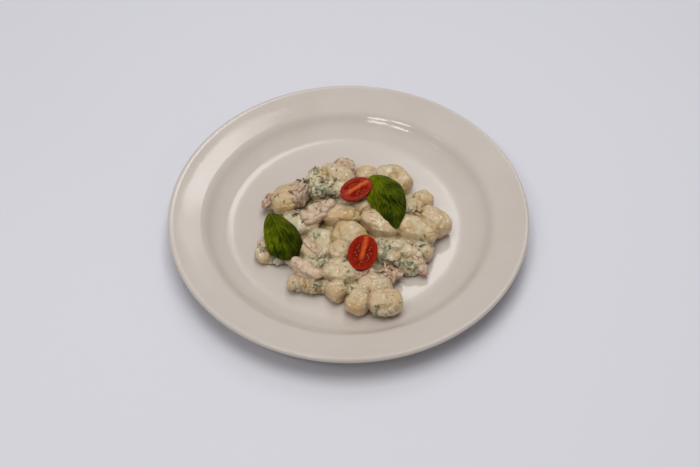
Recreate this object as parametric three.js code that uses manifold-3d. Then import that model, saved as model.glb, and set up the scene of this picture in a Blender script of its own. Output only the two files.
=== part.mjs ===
// A stoneware dinner plate with a heap of potato gnocchi in spinach cream sauce, chicken and
// bacon in it, two halves of a cherry tomato and two basil leaves on top.
// Millimetres, +Z up. The origin is on the plate's axis, on the surface it stands on, and -Y is
// the side the plate is seen from.
import * as THREE from 'three';
import { mergeVertices } from 'three/addons/utils/BufferGeometryUtils.js';
import Module from 'manifold-3d';

const wasm = await Module();
wasm.setup();

// Plate
const plateRadius = 135;
const wellHeight = 6.5;
const wellRadius = 80;
const rimInnerRadius = 108.5;
const rimInnerHeight = 17.6;
const rimOuterHeight = 23;
const lipRadius = 2.3;
const wallThickness = 4.2;
const footInnerRadius = 78;
const footOuterRadius = 85;
const plateSides = 68;

// Food
const gap = 0.3;
const gnoccoSides = 12;
const gnoccoRings = 8;
const lumpSides = 10;
const lumpRings = 6;
const tomatoSides = 22;
const tomatoRings = 6;
const leafThickness = 1.1;
const leafGap = 0.6;
const leafColumns = 12;
const leafRows = 6;
const spinachThickness = 1.6;

// Potato gnocchi: x, y, height of the middle, length, width, turn in plan, tilt in degrees
const gnocchi = [
  [-46.5, 16, 17, 26, 22, 70, 0],
  [-9, 38, 17, 28, 19, -28, 0],
  [-3, 48, 15.5, 21, 16, -15, 0],
  [14.5, 44, 14, 19, 16, 10, 0],
  [32, 42.5, 15, 22, 17, 15, 0],
  [41.5, 34, 15.5, 21, 17, -45, 0],
  [57.5, 16.5, 15, 17, 16, 35, 0],
  [48, 8, 15, 17, 16, 0, 0],
  [65, -6.5, 16, 31, 21, -50, 0],
  [50, -15.5, 17, 34, 21, -27, 0],
  [24.5, -11, 18.5, 33, 21, -38, 0],
  [-5, 0, 18.5, 29, 19, 0, 0],
  [12, 9, 17, 18, 16, 50, 0],
  [1, -21, 18.5, 27, 21, -18, 0],
  [-7.5, -36, 18, 17, 15, 80, 0],
  [-17, -21, 17, 26, 19, -40, 0],
  [-27, -31, 15.5, 23, 17, -55, 0],
  [-6.5, -54, 16, 25, 21, -15, 0],
  [-9, -71.5, 15, 20, 17, -50, 0],
  [6.5, -79.5, 15.5, 21, 19, 60, 0],
  [26, -81, 16, 27, 20, 2, 0],
  [18, -62, 14.5, 28, 18, -8, 0],
  [-29, -61, 14, 28, 16, -22, 0],
  [-62, -31, 13.5, 20, 15, 75, 0],
  [53, -33, 14, 26, 17, -12, 0],
  [34, -35, 16, 19, 16, 40, 0],
];

// Torn chicken and bacon: x, y, height of the middle, length, width, height, turn, tilt
const meat = [
  [-23, 1.5, 23, 26, 20, 15, -30, -8],
  [-38, 16.5, 21.5, 24, 19, 14, 60, 8],
  [-60, 14.5, 15, 13, 10, 12, 70, 0],
  [-28, -55.5, 20.5, 32, 13, 9, -36, 0],
  [11, -56, 17.5, 22, 12, 10, -10, 0],
  [31, -54, 17, 17, 13, 12, 45, 0],
  [51.5, -46, 12.5, 14, 11, 11, -50, 0],
];

// Lumps of sauce with wilted spinach: x, y, height of the middle, length, width, height, turn
const sauceLumps = [
  [0, 22, 14, 78, 50, 20, 0],
  [4, -28, 12, 84, 58, 22, 0],
  [-48.5, -20, 14, 26, 36, 25, 0],
  [-22, 29, 18.5, 32, 23, 18, -30],
  [-36, -4, 16, 30, 26, 18, 0],
  [33, -32, 14, 44, 32, 17, -20],
  [45, -40, 12, 28, 20, 14, -30],
  [-5, 27, 18, 24, 18, 16, 0],
  [-50, -41, 12, 24, 12, 11, -20],
  [16, -68, 11, 34, 24, 11, 0],
  [-20, -42, 14, 30, 24, 15, 0],
];

// Folds of spinach leaf: x, y, height of the middle, length, width, turn, tilt in degrees
const spinach = [
  [-32, 32, 23, 17, 9, 15, 35],
  [-24, 24.5, 25.5, 18, 10, -35, -25],
  [-13, 33, 24.5, 15, 8, -20, 30],
  [-43, 1, 19.5, 15, 8, -50, 30],
  [27, -29, 21, 18, 9, 75, 35],
  [38, -43, 18, 18, 9, 25, -35],
  [52, -38, 19, 16, 8, -30, 30],
  [-19, -41, 20.5, 14, 8, 20, 25],
];

// The sauce on the plate, just inside the outline of the pieces
const sauceOutline = [
  [64, 4], [54, -26], [46, -44], [32, -54], [32, -80], [8, -83], [-10, -70], [-33, -53],
  [-56, -36], [-54, -8], [-54, 16], [-34, 35], [-4, 49], [30, 45], [50, 27],
];
const sauceDepth = 7;
const sauceEdge = 2.5;

// Tomato halves: place of the cut face, half length, half width, depth, turn, lean and roll
const tomatoes = {
  tomato_half_back: {
    at: [5.7, 15.5, 30.5], halfLength: 13.6, halfWidth: 9.2, depth: 9, turn: 38, lean: 0, roll: 8,
  },
  tomato_half_front: {
    at: [10.4, -43, 26.8], halfLength: 13.6, halfWidth: 10.7, depth: 9.6, turn: 75, lean: 20, roll: 4,
  },
};

// Basil leaves: midrib from the stalk to the tip in plan, widths at each side, and heights
const leaves = {
  basil_leaf_left: {
    midrib: [[-58.5, -3], [-51, -20], [-44.5, -42]],
    leftWidth: 15.5, rightWidth: 12, widest: 0.68, fullness: 0.56,
    stalkHeight: 24.5, tipHeight: 17.5, rise: 5.5, droopLeft: 8, droopRight: 3.5, waves: 3,
  },
  basil_leaf_right: {
    midrib: [[16.5, 31], [32.5, 18], [34.8, -19.5]],
    leftWidth: 13, rightWidth: 14.5, widest: 0.45, fullness: 0.68,
    stalkHeight: 27.5, tipHeight: 26.3, rise: 3.2, droopLeft: 3, droopRight: 4, waves: 3,
  },
};

// A repeatable draw between -1 and 1 for piece number seed
function draw(seed, step) {
  const value = Math.sin(seed * 127.1 + step * 311.7) * 43758.5453;
  return 2 * (value - Math.floor(value)) - 1;
}

// A closed geometry as a solid that can be joined and cut
function solidOf(geometry) {
  const bare = geometry.clone();
  bare.deleteAttribute('normal');
  bare.deleteAttribute('uv');
  const merged = mergeVertices(bare, 1e-4);
  const corners = merged.index.array;
  const kept = [];
  for (let i = 0; i < corners.length; i += 3) {
    const [a, b, c] = [corners[i], corners[i + 1], corners[i + 2]];
    if (a !== b && b !== c && c !== a) kept.push(a, b, c);
  }
  return new wasm.Manifold(new wasm.Mesh({
    numProp: 3,
    vertProperties: new Float32Array(merged.attributes.position.array),
    triVerts: new Uint32Array(kept),
  }));
}

function geometryOf(solid) {
  const mesh = solid.getMesh();
  const geometry = new THREE.BufferGeometry();
  geometry.setAttribute('position', new THREE.BufferAttribute(mesh.vertProperties, 3));
  geometry.setIndex(new THREE.BufferAttribute(mesh.triVerts, 1));
  geometry.computeVertexNormals();
  return geometry;
}

// The main body alone, without loose scraps and sealed hollows
function largestBody(solid) {
  return solid.decompose().reduce((best, body) => (body.volume() > best.volume() ? body : best));
}

function placeAt(geometry, [x, y, z], turn = 0, tilt = 0, roll = 0) {
  geometry.rotateX(THREE.MathUtils.degToRad(roll));
  geometry.rotateY(THREE.MathUtils.degToRad(-tilt));
  geometry.rotateZ(THREE.MathUtils.degToRad(turn));
  geometry.translate(x, y, z);
  return geometry;
}

// The upper side of the plate from the axis to the lip: flat well, curved wall, sloping rim
function upperProfile() {
  const wall = new THREE.CubicBezierCurve(
    new THREE.Vector2(wellRadius, wellHeight),
    new THREE.Vector2(wellRadius + 15, wellHeight),
    new THREE.Vector2(rimInnerRadius - 8, rimInnerHeight - 3.6),
    new THREE.Vector2(rimInnerRadius, rimInnerHeight),
  );
  return [
    new THREE.Vector2(0, wellHeight),
    new THREE.Vector2(wellRadius / 2, wellHeight),
    ...wall.getPoints(5),
    new THREE.Vector2(rimInnerRadius + 4, rimInnerHeight + 1),
    new THREE.Vector2(plateRadius - 2 * lipRadius, rimOuterHeight - 0.2),
  ];
}

// The underside from the lip back to the axis, with the foot ring it stands on
function lowerProfile() {
  const recess = wellHeight - wallThickness;
  return [
    new THREE.Vector2(plateRadius - 2 * lipRadius, rimOuterHeight - wallThickness - 0.4),
    new THREE.Vector2(rimInnerRadius + 3, rimInnerHeight - wallThickness),
    new THREE.Vector2(footOuterRadius + 13, 7),
    new THREE.Vector2(footOuterRadius + 3, 2.6),
    new THREE.Vector2(footOuterRadius, 0),
    new THREE.Vector2(footInnerRadius, 0),
    new THREE.Vector2(footInnerRadius - 2, recess),
    new THREE.Vector2(0, recess),
  ];
}

// The rounded lip between the two sides
function lipArc() {
  const points = [];
  for (let degrees = 70; degrees >= -70; degrees -= 28) {
    const angle = THREE.MathUtils.degToRad(degrees);
    const middle = plateRadius - lipRadius;
    const height = rimOuterHeight - 1.2;
    points.push(new THREE.Vector2(middle + lipRadius * Math.cos(angle), height + lipRadius * Math.sin(angle)));
  }
  return points;
}

function turned(points) {
  const geometry = new THREE.LatheGeometry(points, plateSides);
  geometry.rotateX(Math.PI / 2);
  return solidOf(geometry);
}

function plate() {
  const profile = [...upperProfile(), ...lipArc(), ...lowerProfile()];
  return turned(profile.reverse());
}

// All that lies below the upper side of the plate and the gap over it
function belowFood() {
  const lifted = upperProfile().map((p) => new THREE.Vector2(p.x, p.y + gap));
  const depth = -20;
  return turned([
    new THREE.Vector2(0, depth),
    new THREE.Vector2(plateRadius, depth),
    new THREE.Vector2(plateRadius, rimOuterHeight + gap),
    ...lifted.reverse(),
  ]);
}

// An uneven oval: bumps is how far its surface leaves the plain oval, square how blunt its ends are
function oval({ at, size, turn, tilt = 0, bumps, square, seed, sides, rings }) {
  const geometry = new THREE.SphereGeometry(1, sides, rings);
  geometry.rotateZ(-Math.PI / 2);
  const spots = geometry.attributes.position;
  const v = new THREE.Vector3();
  for (let i = 0; i < spots.count; i += 1) {
    v.fromBufferAttribute(spots, i);
    const swell = 1
      + bumps * Math.sin(2.3 * v.x + 3 * draw(seed, 1)) * Math.cos(2.1 * v.y + 3 * draw(seed, 2))
      + bumps * Math.sin(3.1 * v.z + 2.2 * v.y + 3 * draw(seed, 3));
    const blunt = (c) => Math.sign(c) * Math.abs(c) ** square;
    spots.setXYZ(i,
      blunt(v.x) * swell * size[0] / 2,
      blunt(v.y) * swell * size[1] / 2,
      blunt(v.z) * swell * size[2] / 2);
  }
  return solidOf(placeAt(geometry, at, turn, tilt));
}

function gnocco([x, y, z, length, width, turn, tilt], seed) {
  return oval({
    at: [x, y, z], size: [length, width, 0.94 * width], turn, tilt,
    bumps: 0.045, square: 0.86, seed, sides: gnoccoSides, rings: gnoccoRings,
  });
}

function meatPiece([x, y, z, length, width, height, turn, tilt], seed) {
  return oval({
    at: [x, y, z], size: [length, width, height], turn, tilt,
    bumps: 0.13, square: 0.8, seed: seed + 50, sides: lumpSides, rings: lumpRings,
  });
}

function sauceLump([x, y, z, length, width, height, turn], seed) {
  return oval({
    at: [x, y, z], size: [length, width, height], turn,
    bumps: 0.07, square: 0.9, seed: seed + 90, sides: lumpSides, rings: lumpRings,
  });
}

// A thin sheet between a surface and its copy below, both split into triangles alike.
// surface(u, v) gives the upper point for u and v from 0 to 1.
function sheet(surface, columns, rows, above, below) {
  const points = [];
  const faces = [];
  const layer = (columns + 1) * (rows + 1);
  const at = (i, j) => i * (rows + 1) + j;
  for (const lift of [above, -below]) {
    for (let i = 0; i <= columns; i += 1) {
      for (let j = 0; j <= rows; j += 1) {
        const [x, y, z] = surface(i / columns, j / rows);
        points.push(x, y, z + lift);
      }
    }
  }
  for (let i = 0; i < columns; i += 1) {
    for (let j = 0; j < rows; j += 1) {
      const [a, b, c, d] = [at(i, j), at(i + 1, j), at(i + 1, j + 1), at(i, j + 1)];
      faces.push(a, b, c, a, c, d);
      faces.push(layer + a, layer + c, layer + b, layer + a, layer + d, layer + c);
    }
  }
  const rim = [];
  for (let i = 0; i < columns; i += 1) rim.push(at(i, 0));
  for (let j = 0; j < rows; j += 1) rim.push(at(columns, j));
  for (let i = columns; i > 0; i -= 1) rim.push(at(i, rows));
  for (let j = rows; j > 0; j -= 1) rim.push(at(0, j));
  rim.forEach((a, k) => {
    const b = rim[(k + 1) % rim.length];
    faces.push(a, layer + a, layer + b, a, layer + b, b);
  });
  const geometry = new THREE.BufferGeometry();
  geometry.setAttribute('position', new THREE.Float32BufferAttribute(points, 3));
  geometry.setIndex(faces);
  return geometry;
}

// A wilted spinach leaf: a short wavy strip on the sauce
function spinachFold([x, y, z, length, width, turn, tilt], seed) {
  const wave = (u, v) => 1.6 * Math.sin(5.5 * u + 3 * draw(seed, 7)) * (0.4 + v);
  const surface = (u, v) => {
    const narrow = 0.35 + 0.65 * Math.sin(Math.PI * u);
    return [(u - 0.5) * length, (v - 0.5) * width * narrow, wave(u, v)];
  };
  const geometry = sheet(surface, 6, 3, spinachThickness / 2, spinachThickness / 2);
  return solidOf(placeAt(geometry, [x, y, z], turn, 0, tilt));
}

// The sauce that lies on the plate, with a rounded edge
function sauceOnPlate() {
  const line = new THREE.CatmullRomCurve3(sauceOutline.map(([x, y]) => new THREE.Vector3(x, y, 0)), true);
  const outline = new THREE.Shape(line.getPoints(45).slice(0, -1).map((p) => new THREE.Vector2(p.x, p.y)));
  const geometry = new THREE.ExtrudeGeometry(outline, {
    depth: sauceDepth, bevelEnabled: true, bevelSize: sauceEdge, bevelThickness: sauceEdge, bevelSegments: 2,
  });
  geometry.translate(0, 0, wellHeight - sauceEdge);
  return solidOf(geometry);
}

// A whole oval tomato grown by extra on all sides, and the half of it below the cut
function wholeTomato({ at, halfLength, halfWidth, depth, turn, lean, roll }, extra) {
  const geometry = new THREE.SphereGeometry(1, tomatoSides, 2 * tomatoRings);
  geometry.rotateX(Math.PI / 2);
  geometry.scale(halfLength + extra, halfWidth + extra, depth + extra);
  return solidOf(placeAt(geometry, at, turn, lean, roll));
}

function tomatoHalf(size) {
  const { at, turn, lean, roll, depth } = size;
  const block = new THREE.BoxGeometry(60, 60, 2 * depth);
  block.translate(0, 0, depth);
  return wholeTomato(size, 0).subtract(solidOf(placeAt(block, at, turn, lean, roll)));
}

// The upper side of a basil leaf. u runs along the midrib from the stalk to the tip and
// v from the right edge over the midrib to the left edge, seen from above with the tip ahead.
// The same surface grown by grow reaches that far past the edge.
function leafSurface(leaf, grow) {
  const rib = new THREE.QuadraticBezierCurve(...leaf.midrib.map(([x, y]) => new THREE.Vector2(x, y)));
  const fall = leaf.tipHeight - leaf.stalkHeight;
  return (u, v) => {
    const spot = rib.getPoint(u);
    const ahead = rib.getTangent(u);
    if (u === 0) spot.addScaledVector(ahead, -grow);
    if (u === 1) spot.addScaledVector(ahead, grow);
    const bulge = u < leaf.widest
      ? Math.sin((Math.PI / 2) * (u / leaf.widest)) ** leaf.fullness
      : Math.cos((Math.PI / 2) * ((u - leaf.widest) / (1 - leaf.widest))) ** leaf.fullness;
    const side = 2 * v - 1;
    const halfWidth = (side > 0 ? leaf.leftWidth : leaf.rightWidth) * bulge + 0.5;
    const reach = side * (halfWidth + grow);
    const edge = Math.abs(reach) / halfWidth;
    const droop = (side > 0 ? leaf.droopLeft : leaf.droopRight) * bulge * edge ** 2.2;
    const arch = leaf.rise * Math.sin(Math.PI * u);
    const ripple = 0.5 * Math.sin(2 * Math.PI * leaf.waves * u) * edge * bulge;
    const height = leaf.stalkHeight + fall * u + arch - droop + ripple;
    return [spot.x - ahead.y * reach, spot.y + ahead.x * reach, height];
  };
}

function leafSolid(leaf) {
  return solidOf(sheet(leafSurface(leaf, 0), leafColumns, leafRows, 0, leafThickness));
}

// The leaf with the gap round it, and all that is above it
function aboveLeaf(leaf) {
  const headroom = 30;
  return solidOf(sheet(leafSurface(leaf, leafGap), leafColumns, leafRows, headroom, leafThickness + leafGap));
}

function heap() {
  const pieces = [
    sauceOnPlate(),
    ...sauceLumps.map(sauceLump),
    ...gnocchi.map(gnocco),
    ...meat.map(meatPiece),
    ...spinach.map(spinachFold),
  ];
  let joined = pieces.reduce((all, piece) => all.add(piece)).subtract(belowFood());
  for (const tomato of Object.values(tomatoes)) joined = joined.subtract(wholeTomato(tomato, gap));
  for (const leaf of Object.values(leaves)) joined = joined.subtract(aboveLeaf(leaf));
  return largestBody(joined);
}

// The right leaf's stalk end is tucked in beside the back tomato
function basilLeaf(name) {
  const cut = leafSolid(leaves[name]).subtract(wholeTomato(tomatoes.tomato_half_back, gap));
  return largestBody(cut);
}

function node(name, solid, color, roughness) {
  const material = new THREE.MeshStandardMaterial({ color, roughness, metalness: 0 });
  const mesh = new THREE.Mesh(geometryOf(solid), material);
  mesh.name = name;
  return mesh;
}

const dish = new THREE.Group();
dish.add(node('plate', plate(), 0xd8cfc6, 0.25));
dish.add(node('gnocchi_heap', heap(), 0xd3bd97, 0.5));
dish.add(node('tomato_half_back', tomatoHalf(tomatoes.tomato_half_back), 0xa5301a, 0.3));
dish.add(node('tomato_half_front', tomatoHalf(tomatoes.tomato_half_front), 0xa02a18, 0.3));
dish.add(node('basil_leaf_left', basilLeaf('basil_leaf_left'), 0x4e5c10, 0.45));
dish.add(node('basil_leaf_right', basilLeaf('basil_leaf_right'), 0x4a5a12, 0.45));

export default dish;
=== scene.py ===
import math
import random

import bmesh
import bpy
from mathutils import Matrix, Vector, noise
from mathutils.bvhtree import BVHTree


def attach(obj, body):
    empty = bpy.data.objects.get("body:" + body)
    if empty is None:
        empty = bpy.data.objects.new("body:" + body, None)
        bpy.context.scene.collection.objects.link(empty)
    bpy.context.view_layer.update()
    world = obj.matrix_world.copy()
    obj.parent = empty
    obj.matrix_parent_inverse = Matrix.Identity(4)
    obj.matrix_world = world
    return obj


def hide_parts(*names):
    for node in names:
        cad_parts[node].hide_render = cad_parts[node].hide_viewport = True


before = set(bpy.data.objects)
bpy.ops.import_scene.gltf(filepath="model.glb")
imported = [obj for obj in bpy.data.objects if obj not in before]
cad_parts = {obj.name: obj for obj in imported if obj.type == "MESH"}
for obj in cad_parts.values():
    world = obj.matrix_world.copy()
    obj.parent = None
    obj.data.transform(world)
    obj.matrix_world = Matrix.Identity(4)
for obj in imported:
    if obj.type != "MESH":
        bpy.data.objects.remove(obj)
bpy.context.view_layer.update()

MM = 0.001

# Plate, in section from its axis: heights, radii, and points as radius and height
WELL_HEIGHT = 6.5
WELL_RADIUS = 77
COVE = (93.5, 8.2)
WALL = (105.5, 14.6)
RIM_INNER = (111.5, 18.35)
RIM_OUTER = (130.4, 22.8)
LIP_CENTRE = (132.7, 21.8)
LIP_RADIUS = 2.3
PLATE_STEPS = 192

# Food: sizes, and how finely each piece is made
GNOCCO_HEIGHT = 0.94
GNOCCO_UNEVENNESS = 0.045
GNOCCO_DETAIL = 5
MEAT_UNEVENNESS = 0.11
MEAT_SQUARENESS = 0.8
CORE_DETAIL = 4
SAUCE_VOXEL = 0.76
SAUCE_SMOOTHING = 3
SAUCE_DEPTH = 5
SPINACH_THICKNESS = 0.35
STRIP_THICKNESS = 1.3
SHEET_STEPS = (12, 7)
SHEET_RISE = 1.6
SHEET_DROP = 9
HERB_THICKNESS = 0.3
LOOSE_HERBS = 90
TOMATO_STEPS = (112, 72)
LEAF_THICKNESS = 0.5
LEAF_STEPS = (170, 110)

# Gaps and limits
TOMATO_GAP = 0.15
LEAF_GAP = 1.3
PLATE_GAP = 0.05
BELOW_ALL = -5
ABOVE_ALL = 60
NEAR_PLATE = 12
LOWEST_SHEET = 7
LOWEST_HERB = 7.8
GNOCCO_REACH = 20
CREASE_REACH = 16
HOLLOW_REACH = 9
HOLLOW_WAYS = 30

# Where the heap lies, as least and greatest x, y and height, and how it domes
HEAP_X = (-68, 76)
HEAP_Y = (-94, 58)
HEAP_Z = (9, 15)
HEAP_FORWARD = 15
DOME = 70

# Camera, in metres, degrees below level and millimetres
CAMERA_AT = (0.0011, -0.6008, 0.7240)
CAMERA_DIP = 50.46
CAMERA_LENS = 63.4

# Potato gnocchi: x, y, height of the middle, length, width, turn, film of sauce, gold tint, boxiness
GNOCCHI = [
    (-46.5, 16, 17, 26, 22, 70, 0.09, 0.9, 0.1),
    (-9, 38, 17.5, 28, 19, -28, 0.33, 0.2, 0.2),
    (13.5, 44, 14, 17, 15, 10, 0.09, 0.45, 0.3),
    (32, 42.5, 15, 22, 17, 15, 0.42, 0.3, 0.3),
    (39.5, 35, 15.5, 19.5, 16.5, -45, 0.06, 0.6, 0.9),
    (57, 17, 15, 14.5, 14.5, 35, 0.06, 0.8, 0.6),
    (48, 8, 15, 17, 16, 0, 0.36, 0.2, 0.3),
    (64, -5, 16, 28, 19.5, -50, 0.12, 0.35, 0.3),
    (50, -15.5, 17, 34, 21, -27, 0.15, 0.25, 0.4),
    (23.5, -10.5, 18.5, 29.5, 20.5, -38, 0.15, 0.2, 0.7),
    (-5, 0, 14.9, 29, 19, 0, 0.1, 0.8, 0.4),
    (12, 9, 15.3, 18, 16, 50, 0.3, 0.5, 0.3),
    (1, -21, 18.5, 27, 21, -18, 0.12, 0.75, 0.3),
    (-7.5, -36, 18, 17, 15, 80, 0.36, 0.3, 0.2),
    (-17.5, -23, 9.6, 24, 17, -40, 0.4, 0.1, 0.2),
    (-28, -31.5, 13, 22, 16, -55, 0.3, 0.3, 0.3),
    (-6.5, -54, 16, 25, 21, -15, 0.36, 0.3, 0.2),
    (-8.5, -67.5, 14, 15.5, 15, -50, 0.18, 0.35, 0.4),
    (7, -78.5, 15, 19.5, 18, 60, 0.09, 0.45, 0.3),
    (26, -80.2, 16, 23.5, 19, 2, 0.12, 0.2, 0.75),
    (18, -62, 11.8, 28, 18, -8, 0.45, 0.4, 0.2),
    (-38, -60, 13, 12, 11, 20, 0.3, 0.3, 0.2),
    (-31, -61, 14, 14, 12, -40, 0.42, 0.3, 0.2),
    (-24, -62.5, 13.5, 13, 11, 30, 0.24, 0.3, 0.2),
    (-18, -62, 12, 11, 10, -20, 0.48, 0.3, 0.2),
    (-61.5, -26, 13.5, 14, 11.5, 60, 0.42, 0.3, 0.2),
    (-63, -34, 12, 12, 10, -60, 0.48, 0.2, 0.2),
    (36, -36, 16, 14, 13, 60, 0.48, 0.1, 0.2),
    (43.5, -35.5, 15.5, 15, 13, -50, 0.33, 0.3, 0.2),
    (53.5, -31.5, 14, 18, 14, -20, 0.51, 0.1, 0.2),
]

# Torn chicken and bacon: x, y, height of the middle, length, width, height, turn, browned
MEAT = [
    (-23, 1, 20, 24, 16, 13, 35, 0.1),
    (-28.5, -3.5, 21, 14, 11, 9, -10, 0.05),
    (-17.5, 4.5, 22, 14, 11, 10, 65, 0.05),
    (-38, 17.5, 20.5, 23, 16, 14, 75, 0.5),
    (-60.5, 15, 14.5, 13, 10, 11, 70, 1.0),
    (-30.5, -54, 20.5, 27, 12.5, 9, -36, 0.1),
    (13, -57, 16.4, 21, 11, 10, 5, 0.6),
    (30, -53.5, 15, 15, 12, 10, 30, 1.0),
    (53, -44.5, 12.5, 14, 10, 11, -80, 0.45),
    (-3, 48, 15.5, 21, 16, 15, -15, 1.1),
    (-27, -31, 18.2, 18, 7.5, 8, -52, 0.35),
]

# Lumps of sauce: x, y, height of the middle, length, width, height, turn
SAUCE_LUMPS = [
    (0, 22, 8.5, 76, 48, 11, 0),
    (4, -28, 9, 82, 56, 12, 0),
    (-48.5, -19, 12.5, 22, 31, 21, 0),
    (-25, 27, 17.5, 24, 22, 17, -30),
    (-23, 41, 18, 16, 12, 13, 0),
    (-36, -4, 14.5, 27, 22, 15, 0),
    (26, -34, 15.8, 17, 20, 13, 0),
    (33, -32, 13.2, 40, 26, 14, -20),
    (44, -44, 12.5, 20, 14, 12, -10),
    (27, -85.8, 17.3, 18, 10, 11, -3),
    (-18, -21.5, 10.6, 30, 22, 18, -40),
    (-6, 26, 17, 20, 14, 14, 0),
    (-50, -36, 11.5, 25, 10, 9, -12),
    (16, -68, 10, 32, 20, 9, 0),
    (-20, -43, 13, 26, 22, 13, 0),
    (-16, -32, 11.5, 30, 24, 14, -30),
    (-14, -58, 11.5, 18, 14, 12, 0),
    (4, -66, 12.5, 22, 12, 11, 0),
    (-31, -61, 12.5, 22, 11, 10, -10),
    (-28, 34, 21.5, 10, 8, 8, 20), (-22, 41, 19.5, 11, 8, 9, -20), (-24, 27, 24.5, 9, 7, 6, 30),
    (-19, 22, 24, 8, 7, 6, -20), (-30, 25, 22.5, 8, 6, 6, 60), (-15, 27, 23.5, 8, 6, 6, 0),
    (-14, 19, 23, 7, 6, 5, 40), (-26, 20, 22, 7, 6, 5, 0), (-20, 31, 23.5, 7, 6, 5, 70),
    (24, -30, 21, 8, 6, 6, 80), (28, -37, 20.5, 7, 5, 5, 60), (35, -34, 22.5, 10, 8, 7, -20),
    (40, -38, 20, 8, 7, 7, 40), (44, -47, 17, 9, 7, 7, -30), (50, -37, 19, 10, 7, 6, -30),
    (56, -32, 17.5, 9, 7, 6, 20), (32, -43, 18.5, 7, 6, 6, 0), (59.5, -29, 15, 7, 6, 6, 60),
    (-20, -40, 19, 8, 7, 6, 30), (-27, -45, 17, 7, 6, 6, 0), (-36, -2, 20, 8, 6, 6, -40),
]

# The sauce on the plate, just inside the outline of the pieces
SAUCE_OUTLINE = [
    (64, 4), (54, -26), (44, -44), (30, -54), (30, -78), (8, -80), (-8, -68), (-20, -60),
    (-36, -58), (-40, -44), (-54, -34), (-54, -8), (-54, 16), (-34, 35), (-4, 47), (30, 44), (50, 27),
]

# Where the sauce is curdled into small lumps: x, y, reach
CURDS = [
    (-25, 27, 9), (-24, 41, 7), (-11, 18, 5), (-40, -1, 6), (26, -34, 7), (38, -45, 5), (61, -29, 5),
    (45, -48, 4), (-20, -44, 8), (-34, -64, 8), (-22, -66, 6), (-62, -34, 8), (-50, -37, 7),
    (20, -56, 6), (-52, -6, 4), (30, -88, 4), (46, 3, 4), (-28, -24, 5), (0, -64, 4),
]

# Wilted spinach in the sauce: x, y, reach, number of torn leaves, main turn, how fresh a green
SPINACH = [
    (-33.2, 27, 3.6, 2, 70, 0.2), (-30, 20, 3.8, 1, -55, 0.15), (-25.8, 41.3, 1.8, 1, -30, 0.4),
    (-26, 35.6, 1.6, 1, 10, 0.4), (-18.5, 16.3, 4, 2, 0, 0.3), (-22.8, 19.5, 3.4, 2, -70, 0.0),
    (-20, 27, 1.8, 1, -60, 0.5), (-12.3, 16.4, 2.8, 1, 70, 0.4), (-14, 11.8, 1.6, 1, 0, 0.0),
    (-10.8, 30, 2.2, 1, -20, 0.2), (-39.4, -0.6, 3.2, 2, -40, 0.3), (-34, 2, 2, 1, 20, 0.4),
    (-23.3, -19.5, 2.4, 1, 75, 0.4), (-9.2, -14, 2, 1, 20, 0.5), (-15.6, -42.7, 2.8, 1, -50, 0.0),
    (-26.6, -41.8, 2.6, 1, 0, 0.7), (-17.8, -47.5, 2.4, 1, 10, 0.3), (23.5, -28.5, 2.8, 1, 85, 0.3),
    (27.5, -35.3, 3, 2, 75, 0.3), (25.5, -42, 2.4, 1, 60, 0.5), (31.5, -31, 1.6, 1, 0, 0.5),
    (38.6, -45.6, 2.8, 1, -20, 0.0), (46, -29.6, 2, 1, 0, 0.4), (53, -30, 3.2, 1, -15, 1.0),
    (61.6, -28.6, 2.2, 1, -60, 0.2), (44.4, -47.8, 2, 1, 60, 1.0), (48.6, -48.5, 1.6, 1, 50, 0.1),
    (42, -51.5, 1.4, 1, 0, 0.2), (57, -38, 2, 1, 40, 0.9), (-22.5, -66.8, 2.6, 1, 0, 0.1),
    (-39.8, -64.8, 1.8, 1, 0, 0.7), (-31, -66, 1.6, 0, 0, 0.4), (45.5, 3.2, 2.6, 1, 60, 0.3),
    (-2.5, -49, 1.8, 1, 60, 0.5), (19.5, -89, 2.2, 1, 50, 0.35), (2, -67, 1.6, 1, 80, 0.4),
    (37, -84, 1.4, 1, 70, 0.5), (-62, -33, 2.4, 1, 80, 0.5), (-56, -38, 2, 1, 0, 0.4),
    (-48, -40, 1.6, 0, 0, 0.4),
]

# Creases and gaps in the heap, seen from above: from x, y to x, y, sideways bow, half width, depth
CREASES = [
    (35.5, 43, 36.5, 33, 0, 1.2, 2.5), (53, 16.5, 52.7, 0, 0, 1.2, 2), (51, 2, 54.3, -2.2, 0, 1.8, 4),
    (67.4, 0.7, 72.6, -10.7, 1, 1, 1.7), (71, -9.7, 65.7, -19.3, 0, 1.1, 1.3),
    (54, -6, 67, -21.5, -2, 1.2, 2.6), (43.2, -14.4, 48.6, -23.3, 0, 2.4, 1.6),
    (7, 4.7, 5.2, -5.2, 0, 1.3, 2), (5.9, -7.2, 12.3, -17, -1, 1.4, 2.6),
    (9.7, 1.2, 16.2, 4.7, 0, 1, 1.2), (-31, -29.5, -27, -36, 0, 0.8, 1.5),
    (-23.5, -31.5, -20, -37, 1, 0.8, 1.5), (-12.5, -31, -3, -42.3, -4, 1.4, 1.1),
    (-7.8, -16.5, -3.6, -32.8, -2, 1.6, 1.1),
    (2.6, -66, 0.4, -74, 0, 1.3, 1.2), (24.5, -75.8, 36, -75.4, 0, 1.6, 1.7),
    (27, -81, 35.5, -80.6, 0, 1.5, 1.6), (20.2, -88.6, 32, -88.6, 0, 0.8, 1),
    (37.5, -73, 30.6, -93, -3, 0.9, 1), (1.8, -83, 11, -78.5, 0, 0.8, 0.9),
    (-14, -70, -1.7, -69.2, 0, 1, 1.2), (15.4, -72.5, 33.2, -72.5, 0, 1.2, 1.2),
    (-32, -61.4, -31, -71.4, 0, 1.5, 2.6), (-19.7, 43, -17.3, 32.6, 0, 2, 4),
    (18.8, -18.6, 21.4, -19.2, 0, 1.6, 0.9), (49, -31, 54, -33.5, 1, 0.8, 1.4),
    (38, -39, 45, -42, -2, 0.9, 1.6),
]

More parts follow.
